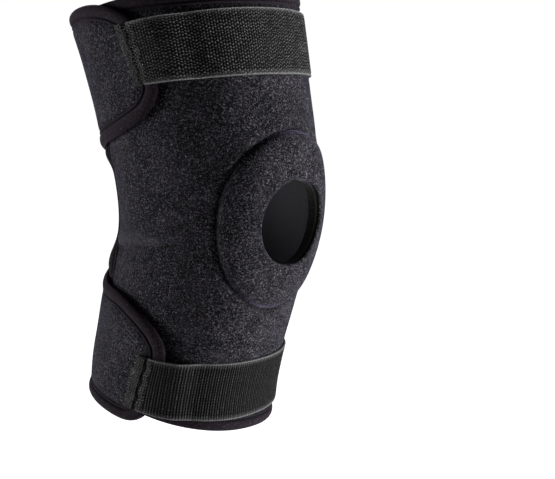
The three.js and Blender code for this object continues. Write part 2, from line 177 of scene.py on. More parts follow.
def place(turn, height, offset):
    """A point out from the leg's wall by offset. Sections stand square to the leg's middle line,
    which is an arc about a centre behind the knee: tilt = height / arc radius."""
    radius = wall_radius(turn, height) + offset
    tilt = height / BEND_RADIUS
    set_back = curve(SECTIONS, 4, height / SLEEVE_HEIGHT) * KNEE_DEPTH
    x = radius * np.sin(np.radians(turn))
    y = set_back - radius * np.cos(np.radians(turn))
    return np.stack(
        [
            x,
            BEND_RADIUS * (1 - np.cos(tilt)) + y * np.cos(tilt),
            BEND_RADIUS * np.sin(tilt) - y * np.sin(tilt),
        ],
        -1,
    )


def wall_scale(turn, height):
    """Metres on the wall for one degree of turn and for one metre of height: the radius in radians,
    and 1 + radius cos(turn) / arc radius."""
    radius = wall_radius(turn, height)
    return np.radians(radius), 1 + radius * np.cos(np.radians(turn)) / BEND_RADIUS


def grid_quads(numbers):
    """The four-cornered faces of a grid of corner numbers: (i, j), (i+1, j), (i+1, j+1), (i, j+1)."""
    corners = [numbers[:-1, :-1], numbers[1:, :-1], numbers[1:, 1:], numbers[:-1, 1:]]
    return np.stack(corners, -1).reshape(-1, 4)


def make_piece(name, points, quads, material, uv=None, masks=None, sharp=50):
    """A new object with these corners and four-cornered faces, smooth except at edges sharper than
    the given degrees. uv is metres along and across the piece, and each mask a number per corner."""
    mesh = bpy.data.meshes.new(name)
    mesh.vertices.add(len(points))
    mesh.vertices.foreach_set("co", points.astype(np.float32).ravel())
    mesh.loops.add(quads.size)
    mesh.loops.foreach_set("vertex_index", quads.astype(np.int32).ravel())
    mesh.polygons.add(len(quads))
    mesh.polygons.foreach_set("loop_start", np.arange(0, quads.size, 4, dtype=np.int32))
    mesh.update(calc_edges=True)
    mesh.shade_smooth()
    mesh.set_sharp_from_angle(angle=np.radians(sharp))
    if uv is not None:
        layer = mesh.uv_layers.new(name="metres")
        layer.uv.foreach_set("vector", uv[quads.ravel()].astype(np.float32).ravel())
    for mask_name, values in (masks or {}).items():
        attribute = mesh.attributes.new(mask_name, "FLOAT", "POINT")
        attribute.data.foreach_set("value", values.astype(np.float32).ravel())
    mesh.materials.append(material)
    piece = bpy.data.objects.new(name, mesh)
    bpy.context.collection.objects.link(piece)
    return piece


def layer_quads(quads, count):
    """The faces of a closed layer. Its outer face has these quads, and its inner one the same turned
    round, with corners numbered count higher. An edge of only one quad gets a wall."""
    edges = np.stack([quads, np.roll(quads, -1, 1)], -1).reshape(-1, 2)
    code = edges[:, 0] * count + edges[:, 1]
    alone = edges[~np.isin(code, edges[:, 1] * count + edges[:, 0])]
    a, b = alone[:, 0], alone[:, 1]
    walls = np.stack([b, a, a + count, b + count], -1)
    return np.concatenate([quads, quads[:, ::-1] + count, walls])


# Ways across the sheet from the middle of the opening, in cells of 8 degrees or a twelfth of the
# half height. The opening's edge is at 3 and the pad's seam at 6, where the lines stand closer. At 7
# the cloth lies on the leg again, and from 9 on the grid is plain. A band of finer rows follows each
# edge of the sheet.
CELL_TURN, HALF_ROWS = 8, 12
OPENING_RING, SEAM_RING, FLAT_RING, PLAIN_RING = 3, 6, 7, 9
SEAM_RINGS = 0.17  # half the width of the pressed seam
RIM_RINGS = 0.2  # the width of the opening's rounded edge
EDGE_BAND = 0.0086
from_opening = np.concatenate(
    [
        np.arange(0, 2.9, 0.25),
        [3, 3.03, 3.07, 3.13, 3.2, 3.32, 3.48, 3.7, 3.95, 4.2, 4.45, 4.7, 4.95, 5.2, 5.4, 5.55],
        [5.68, 5.78, 5.86, 5.92, 5.97, 6.02, 6.07, 6.13, 6.22, 6.35, 6.55, 6.8, 7.05, 7.3],
        np.arange(7.55, 9.1, 0.25),
    ]
)
front_turns = CELL_TURN * np.concatenate([-from_opening[:0:-1], from_opening])
panel_turns = np.concatenate(
    [
        np.linspace(-PANEL_REACH, front_turns[0], 44)[:-1],
        front_turns,
        np.linspace(front_turns[-1], NOTCH_END, 48)[1:],
    ]
)
flap_ways = np.concatenate([[0.008, 0.018, 0.03, 0.045, 0.062], np.linspace(0.08, 1, 76)])
# From a hem to the middle line
rows = np.concatenate([np.arange(0, 2.8, 0.25), HALF_ROWS - from_opening[::-1]])

# Turns and heights of each column's lower hem, lower and upper middle line, and upper hem. The flaps'
# lines are a table with its columns of turn and of height.
FLAP_LINES = ((LOWER_FLAP, 3, 4), (LOWER_FLAP, 1, 2), (UPPER_FLAP, 1, 2), (UPPER_FLAP, 3, 4))
panel_ends = np.stack([curve(HEMS, column, panel_turns) * SLEEVE_HEIGHT for column in (1, 2, 3)])
flap_turns = np.stack(
    [NOTCH_END + curve(flap, turn, flap_ways) * FLAP_TURN for flap, turn, _ in FLAP_LINES]
)
flap_heights = np.stack(
    [curve(flap, height, flap_ways) * SLEEVE_HEIGHT for flap, _, height in FLAP_LINES]
)
end_turns = np.concatenate([np.repeat(panel_turns[None], 4, 0), flap_turns], 1)
end_heights = np.concatenate([panel_ends[[0, 1, 1, 2]], flap_heights], 1)
bulge = np.concatenate([0 * panel_turns, TIP_BULGE * FLAP_TURN * ease(0.8, 1, flap_ways)])
notch_column = len(panel_turns) - 1


def half_sheet(hem, middle):
    """Turns and heights of the columns' points from the hem to the middle line. The way goes in even
    steps, apart from one band at each end, and the flaps' tips bulge by 4 t (1 - t)."""
    turn = (end_turns[hem] + end_turns[middle]) / 2
    height = (end_heights[hem] + end_heights[middle]) / 2
    turn_scale, height_scale = wall_scale(turn, height)
    length = np.hypot(
        (end_turns[middle] - end_turns[hem]) * turn_scale,
        (end_heights[middle] - end_heights[hem]) * height_scale,
    )
    band = (EDGE_BAND / length)[:, None]
    inner_way = band + (1 - 2 * band) * (rows[None] - 1) / (HALF_ROWS - 2)
    from_middle = HALF_ROWS - rows
    way = np.where(rows < 1, band * rows, np.where(from_middle < 1, 1 - band * from_middle, inner_way))
    share = rows / HALF_ROWS
    turns = end_turns[hem][:, None] * (1 - way) + end_turns[middle][:, None] * way
    heights = end_heights[hem][:, None] * (1 - way) + end_heights[middle][:, None] * way
    return turns + bulge[:, None] * 4 * share * (1 - share), heights


def not_zero(value):
    """The value, or a very small one in place of 0, to divide by."""
    return np.where(np.abs(value) < 1e-9, 1e-9, value)


def drawn_round(turns, heights, side):
    """Near the opening the squares of the grid are drawn out to ellipses: the ring's number gives the
    half axes, and the way along the square's side the angle. They ease back between rings 7 and 9."""
    across = (end_turns[1] / CELL_TURN)[:, None] + 0 * rows
    up = side * (HALF_ROWS - rows)[None] + 0 * across
    ring = np.maximum(np.abs(across), np.abs(up))
    sideways = np.where(across > 0, 0, np.pi) + np.pi / 4 * up / not_zero(across)
    updown = np.sign(up) * np.pi / 2 - np.pi / 4 * across / not_zero(up)
    angle = np.where(np.abs(across) >= np.abs(up), sideways, updown)
    outwards = (ring - OPENING_RING) / (SEAM_RING - OPENING_RING)
    middle = HEMS[3, 2] * SLEEVE_HEIGHT  # at the kneecap
    turn_scale, height_scale = wall_scale(0.0, middle)
    width = (OPENING_WIDTH + (PAD_WIDTH - OPENING_WIDTH) * outwards) / 2
    height = (OPENING_HEIGHT + (PAD_HEIGHT - OPENING_HEIGHT) * outwards) / 2
    plain = ease(FLAT_RING, PLAIN_RING, ring)
    turns = plain * turns + (1 - plain) * width * np.cos(angle) / turn_scale
    heights = plain * heights + (1 - plain) * (middle + height * np.sin(angle) / height_scale)
    return turns, heights, ring


lower_turns, lower_heights, lower_ring = drawn_round(*half_sheet(0, 1), -1)
upper_turns, upper_heights, upper_ring = drawn_round(*half_sheet(3, 2), 1)
past_notch = slice(notch_column + 1, None)


def whole_sheet(lower, upper):
    """One value for each corner, from the grids below and above the middle line, which share that
    line up to the notch. Past it they don't, and the upper flap's edge comes after all the rest."""
    grid = np.concatenate([lower, upper[:, -2::-1]], 1)
    return np.concatenate([grid.ravel(), upper[past_notch, -1]])


# Height, width and size of the two curls of the plain edge, which are beside the flaps' edges
CURLS = ((-0.030, 0.012, 1.0), (0.049, 0.008, 0.75))


def edge_curls(height):
    """How much the plain edge curls out at a height: size exp(-(distance / width)^2) of each curl."""
    return sum(size * np.exp(-(((height - middle) / width) ** 2)) for middle, width, size in CURLS)


sheet_turn = whole_sheet(lower_turns, upper_turns)
sheet_height = whole_sheet(lower_heights, upper_heights)
sheet_ring = whole_sheet(lower_ring, upper_ring)
sheet_turn = sheet_turn + CURL_TURN * edge_curls(sheet_height) * ease(112, PANEL_REACH, -sheet_turn)

# The corners' numbers. Past the notch, the middle line has one row of corners on each flap.
columns, middle_row = len(end_turns[0]), len(rows) - 1
below = np.arange(columns * (2 * middle_row + 1)).reshape(columns, -1)
above = below.copy()
above[past_notch, middle_row] = below.size + np.arange(columns - notch_column - 1)
sheet_quads = np.concatenate(
    [grid_quads(below[:, : middle_row + 1]), grid_quads(above[:, middle_row:])]
)
sheet_quads = sheet_quads[sheet_ring[sheet_quads].max(1) > OPENING_RING + 0.001]
outline = np.concatenate(
    [
        below[:-1, 0],
        below[-1, :middle_row],
        below[:notch_column:-1, middle_row],
        above[notch_column:-1, middle_row],
        above[-1, middle_row:-1],
        above[:0:-1, -1],
        above[0, :0:-1],
    ]
)


def even_loop(turn, height, spacing, softness):
    """The closed line through the points, in even steps of the spacing, with its corners rounded by
    an average over neighbours that are weighted by exp(-distance^2 / (2 softness^2))."""
    turn_scale, height_scale = wall_scale(turn, height)
    across = (np.roll(turn, -1) - turn) * turn_scale
    up = (np.roll(height, -1) - height) * height_scale
    length = np.concatenate([[0], np.cumsum(np.hypot(across, up))])
    count = int(length[-1] / spacing)
    at = np.arange(count) * length[-1] / count
    loop = np.stack([np.interp(at, length, np.append(line, line[0])) for line in (turn, height)])
    distance = np.minimum(np.arange(count), count - np.arange(count)) * spacing
    weight = np.exp(-(distance**2) / (2 * softness**2))
    weight /= weight.sum()
    return np.fft.ifft(np.fft.fft(loop) * np.fft.fft(weight)).real


EDGE_STEP, EDGE_SOFTNESS = 0.0012, 0.0042
edge_turn, edge_height = even_loop(
    sheet_turn[outline], sheet_height[outline], EDGE_STEP, EDGE_SOFTNESS
)


def edge_distance(turn, height):
    """Metres along the wall from each point to the sheet's outline, to the nearest of its sides. It
    is worked out for some thousand points at a time."""
    line_turn, line_height = edge_turn[::2], edge_height[::2]
    flat_turn, flat_height = np.ravel(turn), np.ravel(height)
    turn_scale, height_scale = wall_scale(flat_turn, flat_height)
    nearest = np.empty(len(flat_turn))
    for start in range(0, len(flat_turn), 4000):
        part = slice(start, start + 4000)
        x = (line_turn - flat_turn[part, None]) * turn_scale[part, None]
        y = (line_height - flat_height[part, None]) * height_scale[part, None]
        side_x, side_y = np.roll(x, -1, 1) - x, np.roll(y, -1, 1) - y
        near = np.clip(-(x * side_x + y * side_y) / (side_x**2 + side_y**2), 0, 1)
        nearest[part] = np.sqrt(((x + near * side_x) ** 2 + (y + near * side_y) ** 2).min(1))
    return nearest.reshape(np.shape(turn))


def lap_lift(turn, height):
    """How far the sheet's inner face stands off the leg, apart from the pad: the flaps where they
    lap over the sheet's start, and the plain edge where it curls out."""
    lapping = LAP * ease(NOTCH_END + 4, 360 - PANEL_REACH - 6, turn)
    return lapping + CURL_LIFT * edge_curls(height) * ease(119, 134, -turn)


# The pad's height under the sheet, by ring
PAD_LIFT = np.array(
    [
        [3.00, 0.0054],
        [3.50, 0.0057],
        [4.00, 0.0058],
        [4.60, 0.0056],
        [5.20, 0.0050],
        [5.60, 0.0041],
        [5.85, 0.0028],
        [6.00, 0.0017],
        [6.15, 0.0013],
        [6.45, 0.0007],
        [7.00, 0.0000],
    ]
)


def pad_lift(ring):
    """How far the sheet stands off the leg over the pad. Past the table's last ring it is 0."""
    return curve(PAD_LIFT, 1, ring)


def cloth_relief(turn, height):
    """Soft waves of the stretched cloth, with a slanting crease at the outer side, level with the
    joint, which is a dent of exp(-(distance / width)^2) with a fold above it. Also gives the fold
    alone, from 0 to 1, where a painted highlight makes the lit fold pale."""
    wave = np.sin(turn / 13.0 + height / 0.017) * np.sin(height / 0.011 - turn / 21.0)
    line = CREASE_HEIGHT + CREASE_RISE * (turn - CREASE_TURN)
    along = ease(-134, -120, turn) * (1 - ease(-72, -50, turn))
    width = 0.0030 + 0.0018 * ease(72, 112, -turn)
    away = (height - line) / width
    fold = np.exp(-((away - 1.8) ** 2)) * along
    dent = np.exp(-(away**2)) * along
    relief = WAVE_HEIGHT * wave - CREASE_DEPTH * dent + FOLD_HEIGHT * fold
    return relief, fold * ease(50, 125, -turn)


# The sheet is thin and flat inside the binding, sunk at the pad's seam and rounded at the opening
sheet_edge = edge_distance(sheet_turn, sheet_height)
inside = ease(0.0060, 0.0150, sheet_edge)
sheet_middle = lap_lift(sheet_turn, sheet_height) + pad_lift(sheet_ring) + NEOPRENE / 2
sheet_half = (PRESSED_EDGE + (NEOPRENE - PRESSED_EDGE) * ease(0.0070, 0.0130, sheet_edge)) / 2
sewn = np.exp(-(((sheet_ring - SEAM_RING) / SEAM_RINGS) ** 2))
rim = np.clip(1 - (sheet_ring - OPENING_RING) / RIM_RINGS, 0, 1)
sunk = SEAM_DEPTH * sewn + RIM_RADIUS * (1 - np.sqrt(1 - rim**2))
# The fold's share from cloth_relief sets where the cloth is painted paler, a painted highlight
relief, painted_fold_highlight = cloth_relief(sheet_turn, sheet_height)
relief = relief * inside * ease(SEAM_RING, FLAT_RING, sheet_ring)
outer_points = place(sheet_turn, sheet_height, sheet_middle + sheet_half + relief - sunk)
inner_points = place(sheet_turn, sheet_height, sheet_middle - sheet_half)


def new_group(name, inputs, outputs):
    """An empty shader node group with these sockets, and its input and output nodes."""
    group = bpy.data.node_groups.new(name, "ShaderNodeTree")
    for socket, (kind, value) in inputs.items():
        made = group.interface.new_socket(name=socket, in_out="INPUT", socket_type="NodeSocket" + kind)
        if value is not None:
            made.default_value = value
    for socket, kind in outputs.items():
        group.interface.new_socket(name=socket, in_out="OUTPUT", socket_type="NodeSocket" + kind)
    return group, group.nodes.new("NodeGroupInput").outputs, group.nodes.new("NodeGroupOutput").inputs


def feed(tree, socket, value):
    """Links another node's output to a socket, or sets the socket to a value."""
    if isinstance(value, bpy.types.NodeSocket):
        tree.links.new(value, socket)
    else:
        socket.default_value = value


def add(tree, kind, settings=None, **inputs):
    """Adds a shader node with these settings. An input is named, or numbered as in0 and in1, and is
    a value or another node's output."""
    node = tree.nodes.new("ShaderNode" + kind)
    for setting, value in (settings or {}).items():
        setattr(node, setting, value)
    for name, value in inputs.items():
        numbered = name[:2] == "in" and name[2:].isdigit()
        feed(tree, node.inputs[int(name[2:]) if numbered else name.replace("_", " ")], value)
    return node


def maths(tree, operation, first, second=0.0):
    """The output of one Math node."""
    return add(tree, "Math", {"operation": operation}, in0=first, in1=second).outputs[0]


def blend(tree, way, first, second):
    """The output of one Mix node that goes from one colour to another."""
    return add(tree, "Mix", {"data_type": "RGBA"}, in0=way, in6=first, in7=second).outputs[2]


def steps(tree, value, low, high):
    """A number that goes smoothly from 0 at low to 1 at high."""
    return add(
        tree, "MapRange", {"interpolation_type": "SMOOTHSTEP"}, Value=value, From_Min=low, From_Max=high
    ).outputs[0]


def new_material(name, roughness, **constants):
    """A material with one Principled BSDF, whose constants are set on its own sockets."""
    material = bpy.data.materials.new(name)
    material.use_nodes = True
    shader = material.node_tree.nodes["Principled BSDF"]
    shader.inputs["Roughness"].default_value = roughness
    for socket, value in constants.items():
        shader.inputs[socket.replace("_", " ")].default_value = value
    return material, material.node_tree, shader


# The nap of brushed loop cloth: small loops of yarn, each a cell with its own tone, some pale, with
# the surface highest at their middles. Slow clouds make some places lighter than others.
nap, nap_in, nap_out = new_group(
    "loop nap",
    {
        "Vector": ("Vector", None),
        "Loop Size": ("Float", 0.0009),
        "Dark": ("Color", (0.01, 0.01, 0.012, 1)),
        "Pale": ("Color", (0.1, 0.1, 0.11, 1)),
        "Clouds": ("Float", 0.3),
    },
    {"Color": "Color", "Height": "Float"},
)
loop_scale = maths(nap, "DIVIDE", 1.0, nap_in["Loop Size"])
loops = add(nap, "TexVoronoi", {"feature": "F1"}, Vector=nap_in["Vector"], Scale=loop_scale)
tone = add(nap, "SeparateColor", Color=loops.outputs["Color"]).outputs[0]
coarse_scale = maths(nap, "MULTIPLY", loop_scale, 0.42)
tufts = add(nap, "TexNoise", Vector=nap_in["Vector"], Scale=coarse_scale, Detail=3.0, Roughness=0.65)
cloud = add(nap, "TexNoise", Vector=nap_in["Vector"], Scale=70.0, Detail=2.0).outputs[0]
pale_loop = maths(nap, "POWER", tone, 3.2)
tuft = steps(nap, tufts.outputs[0], 0.42, 0.68)
lit = maths(nap, "MULTIPLY", pale_loop, maths(nap, "ADD", maths(nap, "MULTIPLY", tuft, 0.8), 0.35))
clouds = maths(nap, "MULTIPLY", maths(nap, "SUBTRACT", cloud, 0.5), nap_in["Clouds"])
paleness = maths(nap, "MAXIMUM", maths(nap, "ADD", clouds, lit), 0.0)
nap.links.new(blend(nap, paleness, nap_in["Dark"], nap_in["Pale"]), nap_out["Color"])
rounded = maths(nap, "SUBTRACT", 1.0, loops.outputs["Distance"])
tufted = maths(nap, "MULTIPLY", tufts.outputs[0], 1.2)
nap.links.new(maths(nap, "ADD", rounded, tufted), nap_out["Height"])


def napped(tree, loop_size, dark, pale, clouds):
    """The outputs of the loop nap on the piece's own coordinates."""
    where = add(tree, "TexCoord").outputs["Object"]
    yarn = {"Loop_Size": loop_size, "Dark": (*dark, 1), "Pale": (*pale, 1), "Clouds": clouds}
    return add(tree, "Group", {"node_tree": nap}, Vector=where, **yarn).outputs


def mask(tree, name):
    """A mask of the piece's corners."""
    return add(tree, "Attribute", {"attribute_name": name}).outputs["Fac"]


def connect(tree, shader, colour, height=None, strength=1.0, distance=0.0):
    """Gives the shader its colour, and with a height a bump of this strength and distance."""
    tree.links.new(colour, shader.inputs["Base Color"])
    if height is not None:
        bump = add(tree, "Bump", Strength=strength, Distance=distance, Height=height)
        tree.links.new(bump.outputs[0], shader.inputs["Normal"])


cloth, tree, shader = new_material(
    "loop_cloth",
    0.9,
    Sheen_Weight=0.23,
    Sheen_Roughness=0.27,
    Sheen_Tint=(0.68, 0.60, 1.0, 1),
    Specular_IOR_Level=0.04,
)
fabric = napped(tree, 0.00065, (0.0024, 0.0022, 0.0026), (0.103, 0.097, 0.115), 0.22)
depth = mask(tree, "outwards")
under_cloth = maths(tree, "SUBTRACT", 1.0, steps(tree, depth, 0.86, 0.95))
cut = maths(tree, "MULTIPLY", steps(tree, depth, 0.04, 0.08), under_cloth)
near_lining = maths(tree, "SUBTRACT", 1.0, steps(tree, depth, 0.16, 0.24))
backing = maths(tree, "MULTIPLY", cut, near_lining)
lined = blend(tree, steps(tree, depth, 0.04, 0.01), fabric["Color"], (0.024, 0.024, 0.027, 1))
foam = blend(tree, cut, lined, (0.005, 0.005, 0.0055, 1))
lipped = blend(tree, backing, foam, (0.060, 0.056, 0.040, 1))
# Painted highlight: the cloth is coloured paler along the fold, where light catches it
highlighted = blend(tree, mask(tree, "painted_fold_highlight"), lipped, (0.050, 0.050, 0.060, 1))
# Painted shade: the cloth is coloured near black in the sunk seam and beside the binding
shaded = blend(tree, mask(tree, "painted_shade"), highlighted, (0.0012, 0.0012, 0.0014, 1))
connect(tree, shader, shaded, fabric["Height"], strength=0.8, distance=0.00035)

# The nap gets painted shade in the sunk seam and beside the binding, and a painted highlight on the
# fold
painted_shade = 0.42 * sewn + 0.7 * (1 - ease(0.0088, 0.0112, sheet_edge))
corner_count = len(sheet_turn)
wrap = make_piece(
    "loop_cloth_wrap",
    np.concatenate([outer_points, inner_points]),
    layer_quads(sheet_quads, corner_count),
    cloth,
    masks={
        "outwards": np.repeat([1.0, 0.0], corner_count),
        "painted_fold_highlight": np.tile(0.42 * painted_fold_highlight, 2),
        "painted_shade": np.tile(painted_shade, 2),
    },
)
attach(wrap, "root")
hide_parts("neoprene_wrap")


# The kneecap pad. A ring of soft foam, 5 mm thick at the opening and thin at its outer seam, between
# the sheet and the knee. Its cut edge shows inside the opening.
PAD_GAP = 0.0003
pad_quads = sheet_quads[sheet_ring[sheet_quads].max(1) < SEAM_RING + 0.01]
pad_numbers, pad_quads = np.unique(pad_quads, return_inverse=True)
pad_quads = pad_quads.reshape(-1, 4)
pad_turn, pad_height = sheet_turn[pad_numbers], sheet_height[pad_numbers]
pad_ring = sheet_ring[pad_numbers]
pad_top = pad_lift(pad_ring) - PAD_GAP
pad_outer = place(pad_turn, pad_height, pad_top)
pad_inner = place(pad_turn, pad_height, 0 * pad_top)
foam_pad, tree, shader = new_material("pad_foam", 0.92, Sheen_Weight=0.1, Specular_IOR_Level=0.1)
pores = napped(tree, 0.0006, (0.006, 0.006, 0.0065), (0.030, 0.030, 0.031), 0.05)
skin = steps(tree, mask(tree, "outwards"), 0.90, 0.96)
skinned = blend(tree, skin, pores["Color"], (0.050, 0.047, 0.036, 1))
connect(tree, shader, skinned, pores["Height"], strength=0.6, distance=0.0003)
pad = make_piece(
    "kneecap_foam_ring",
    np.concatenate([pad_outer, pad_inner]),
    layer_quads(pad_quads, len(pad_numbers)),
    foam_pad,
    masks={"outwards": np.repeat([1.0, 0.0], len(pad_numbers))},
)
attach(pad, "root")
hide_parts("kneecap_pad")


# The edge binding. A stretch tape folded over the sheet's whole outline and sewn down, so that it is
# round and full beside the fold, dips at the row of stitches and ends in a thin lip on the cloth.
BINDING_WIDTH, BINDING_BULGE = 0.0076, 0.0007
STITCH_ROW, DIP_WIDTH = 0.00685, 0.00075
# Half of the tape's section from its lip to its fold: how far inwards, and out from the cloth's middle
BINDING_SECTION = np.array(
    [
        [0.0090, 0.00115],
        [0.0088, 0.00150],
        [0.0083, 0.00176],
        [0.0078, 0.00170],
        [0.0074, 0.00130],
        [0.0071, 0.00088],
        [0.0066, 0.00088],
        [0.0063, 0.00140],
        [0.0058, 0.00195],
        [0.0052, 0.00232],
        [0.0040, 0.00255],
        [0.0028, 0.00262],
        [0.0015, 0.00246],
        [0.0004, 0.00202],
        [-0.0005, 0.00138],
        [-0.0010, 0.00072],
        [-0.0012, 0.00000],
    ]
)
# The same for its inner faces, which lie on the cloth
CHANNEL = np.array([[-0.0002, 0.00074], [0.0066, 0.00074], [0.0072, 0.00076], [0.0089, 0.0010]])
outside = np.concatenate([BINDING_SECTION, BINDING_SECTION[-2::-1] * [1, -1]])
channel = np.concatenate([CHANNEL[::-1] * [1, -1], CHANNEL])
section = np.concatenate([outside, channel])
edge_turn_scale, edge_height_scale = wall_scale(edge_turn, edge_height)
step_turn = (np.roll(edge_turn, -1) - np.roll(edge_turn, 1)) * edge_turn_scale
step_height = (np.roll(edge_height, -1) - np.roll(edge_height, 1)) * edge_height_scale
step_length = np.hypot(step_turn, step_height)
inward_turn = -step_height / step_length / edge_turn_scale
inward_height = step_turn / step_length / edge_height_scale


def at_edge(along, inwards, out):
    """Points beside the outline: along it in metres from its start, inwards on the cloth, and out
    from the cloth's middle surface. The outline's lines are read between its even steps."""

    def read(line):
        corners = np.arange(len(line) + 1)
        return np.interp(along / EDGE_STEP % len(line), corners, np.append(line, line[0]))

    turn = read(edge_turn) + read(inward_turn) * inwards
    height = read(edge_height) + read(inward_height) * inwards
    return place(turn, height, lap_lift(turn, height) + NEOPRENE / 2 + out)


tape_along = np.arange(len(edge_turn)) * EDGE_STEP
tape_points = at_edge(tape_along[:, None], section[None, :, 0], section[None, :, 1])
tape_around = np.concatenate([[0], np.cumsum(np.hypot(*np.diff(section, axis=0).T))])
tape_uv = np.stack(np.broadcast_arrays(tape_along[:, None], tape_around[None]), -1).reshape(-1, 2)
tape_numbers = np.arange(tape_points[..., 0].size).reshape(tape_points.shape[:2])
closed_numbers = np.pad(tape_numbers, ((0, 1), (0, 1)), "wrap")
# Where painted shade colours the tape near black: the dip at its row of stitches
groove_shade = np.exp(-(((section[:, 0] - STITCH_ROW) / DIP_WIDTH) ** 2))
tape, tree, shader = new_material(
    "binding_tape",
    0.85,
    Sheen_Weight=0.09,
    Sheen_Roughness=0.36,
    Sheen_Tint=(0.86, 0.66, 0.92, 1),
    Specular_IOR_Level=0.04,
)
knit = napped(tree, 0.0007, (0.0060, 0.0045, 0.0062), (0.0310, 0.0240, 0.0315), 0.12)
# Painted shade: the tape is coloured near black in its dip at the row of stitches
groove_shaded = blend(tree, mask(tree, "groove_shade"), knit["Color"], (0.0005, 0.0005, 0.0005, 1))
connect(tree, shader, groove_shaded, knit["Height"], strength=0.5, distance=0.00015)
binding = make_piece(
    "folded_edge_tape",
    tape_points.reshape(-1, 3),
    grid_quads(closed_numbers)[:, ::-1],
    tape,
    uv=tape_uv,
    masks={"groove_shade": np.tile(groove_shade, len(tape_along))},
    sharp=60,
)
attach(binding, "root")
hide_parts("edge_binding")


def thread_mesh(paths, thickness):
    """Six-sided threads along many paths at once, as corners and four-cornered faces. A ring of points
    stands square to each path, its radius shrinks towards both ends, and two faces close each end."""
    count, length = paths.shape[:2]
    ahead = np.gradient(paths, axis=1)
    ahead /= np.linalg.norm(ahead, axis=-1, keepdims=True)
    outwards = paths * [1, 1, 0]
    sideways = np.cross(ahead, outwards)
    sideways /= np.linalg.norm(sideways, axis=-1, keepdims=True)
    upright = np.cross(sideways, ahead)
    angle = np.arange(6)[:, None] * np.pi / 3
    radius = thickness / 2 * np.sqrt(1 - 0.9 * np.abs(np.linspace(-1, 1, length)) ** 4)
    ring = sideways[:, :, None] * np.cos(angle) + upright[:, :, None] * np.sin(angle)
    points = paths[:, :, None] + ring * radius[:, None, None]
    numbers = np.arange(points[..., 0].size).reshape(count, length, 6)
    around = np.concatenate([numbers, numbers[..., :1]], -1)
    corners = [around[:, :-1, :-1], around[:, 1:, :-1], around[:, 1:, 1:], around[:, :-1, 1:]]
    tubes = np.stack(corners, -1).reshape(-1, 4)
    first, last = numbers[:, 0], numbers[:, -1]
    starts = [first[:, [0, 1, 2, 3]], first[:, [0, 3, 4, 5]]]
    ends = [last[:, [3, 2, 1, 0]], last[:, [5, 4, 3, 0]]]
    return points.reshape(-1, 3), np.concatenate([tubes, *starts, *ends])[:, ::-1]


# The binding's stitches. Dark thread that is sewn by machine through the tape and the sheet, in
# stitches of 2.7 mm that lie in the tape's dip.
SEWING_THREAD, STITCH_LENGTH = 0.00036, 0.0027
yarn, tree, shader = new_material("sewing_thread", 0.8, Sheen_Weight=0.05, Specular_IOR_Level=0.06)
strand = napped(tree, 0.0003, (0.002, 0.002, 0.002), (0.009, 0.008, 0.009), 0.2)
connect(tree, shader, strand["Color"])
stitch = np.linspace(0, 1, 6)
stitch_count = int(len(edge_turn) * EDGE_STEP / STITCH_LENGTH)
stitch_along = (np.arange(stitch_count)[:, None] + 0.12 + 0.76 * stitch) * STITCH_LENGTH
stitch_out = 0.00078 + 0.00045 * np.sin(np.pi * stitch) ** 0.5
points, quads = thread_mesh(at_edge(stitch_along, STITCH_ROW, stitch_out), SEWING_THREAD)
stitches = make_piece("binding_stitches", points, quads, yarn)
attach(stitches, "root")


# The elastic straps. Woven rubber elastic, 40 mm wide, with ribs across it and a firm cord along each
# side. One is sewn to each flap, runs on across the front and ends in its hook patch at the back.
STRAP_WIDTH = 0.040
STRAP_THICKNESS = 0.0016
STRAP_GAP = 0.0005  # between a strap and what it lies on
STRAP_START = 277
STRAP_END = 360 + NOTCH_END  # once round
HOOK_LENGTH, HOOK_TAB = 44, 5  # degrees of the hook patch, and of its end beyond the strap's
HOOK_START = STRAP_END + HOOK_TAB - HOOK_LENGTH
HOOK_THICKNESS, HOOK_LIFT = 0.0012, 0.0015
METRES_PER_DEGREE = np.radians(0.067)  # the leg's radius under the straps is about 67 mm
RIB_HEIGHT, CORD_HEIGHT, TURNED_HEIGHT = 0.00038, 0.0004, 0.0007
CORD_PLACE, CORD_WIDTH = 0.484, 0.012  # shares of the strap's width, from its middle
CORD_PITCH = 0.00145  # of the loops along the cord
DENT_DEPTH, DENT_WIDTH = 0.0008, 0.0011
LINE_BEHIND, LINE_WAVE = 0.0022, 0.0007  # of the sewn line, behind the turned-under end
# Each strap's middle as a share of the sleeve's height, the slant of its sewn end in degrees, and the
# turn at which it leaves the flap's tip
STRAPS = {"upper": (0.399, -3, 297), "lower": (-0.385, 5, 303)}


def under_strap(turn, height, tip):
    """How far what lies under a strap stands off the leg: the flap with its bound tip, and past the
    tip the panel, both with their binding where the strap runs over it."""

    def face(layer_turn):
        past_binding = edge_distance(layer_turn, height) - BINDING_WIDTH
        return NEOPRENE + BINDING_BULGE * (1 - ease(0, 0.004, past_binding))

    past_tip = ease(tip, tip + 16, turn)
    return (1 - past_tip) * (LAP + face(np.minimum(turn, tip))) + past_tip * face(turn - 360)


STRAP_KNOTS = np.concatenate([np.arange(270, 330, 1.5), np.arange(330, 520, 3.0)])
STRAP_LINES = np.linspace(-0.5, 0.5, 9)
strap_lifts = {}
for strap, (strap_middle, _, strap_tip) in STRAPS.items():
    line_height = strap_middle * SLEEVE_HEIGHT + STRAP_LINES * STRAP_WIDTH
    strap_lifts[strap] = under_strap(*np.meshgrid(STRAP_KNOTS, line_height, indexing="ij"), strap_tip)


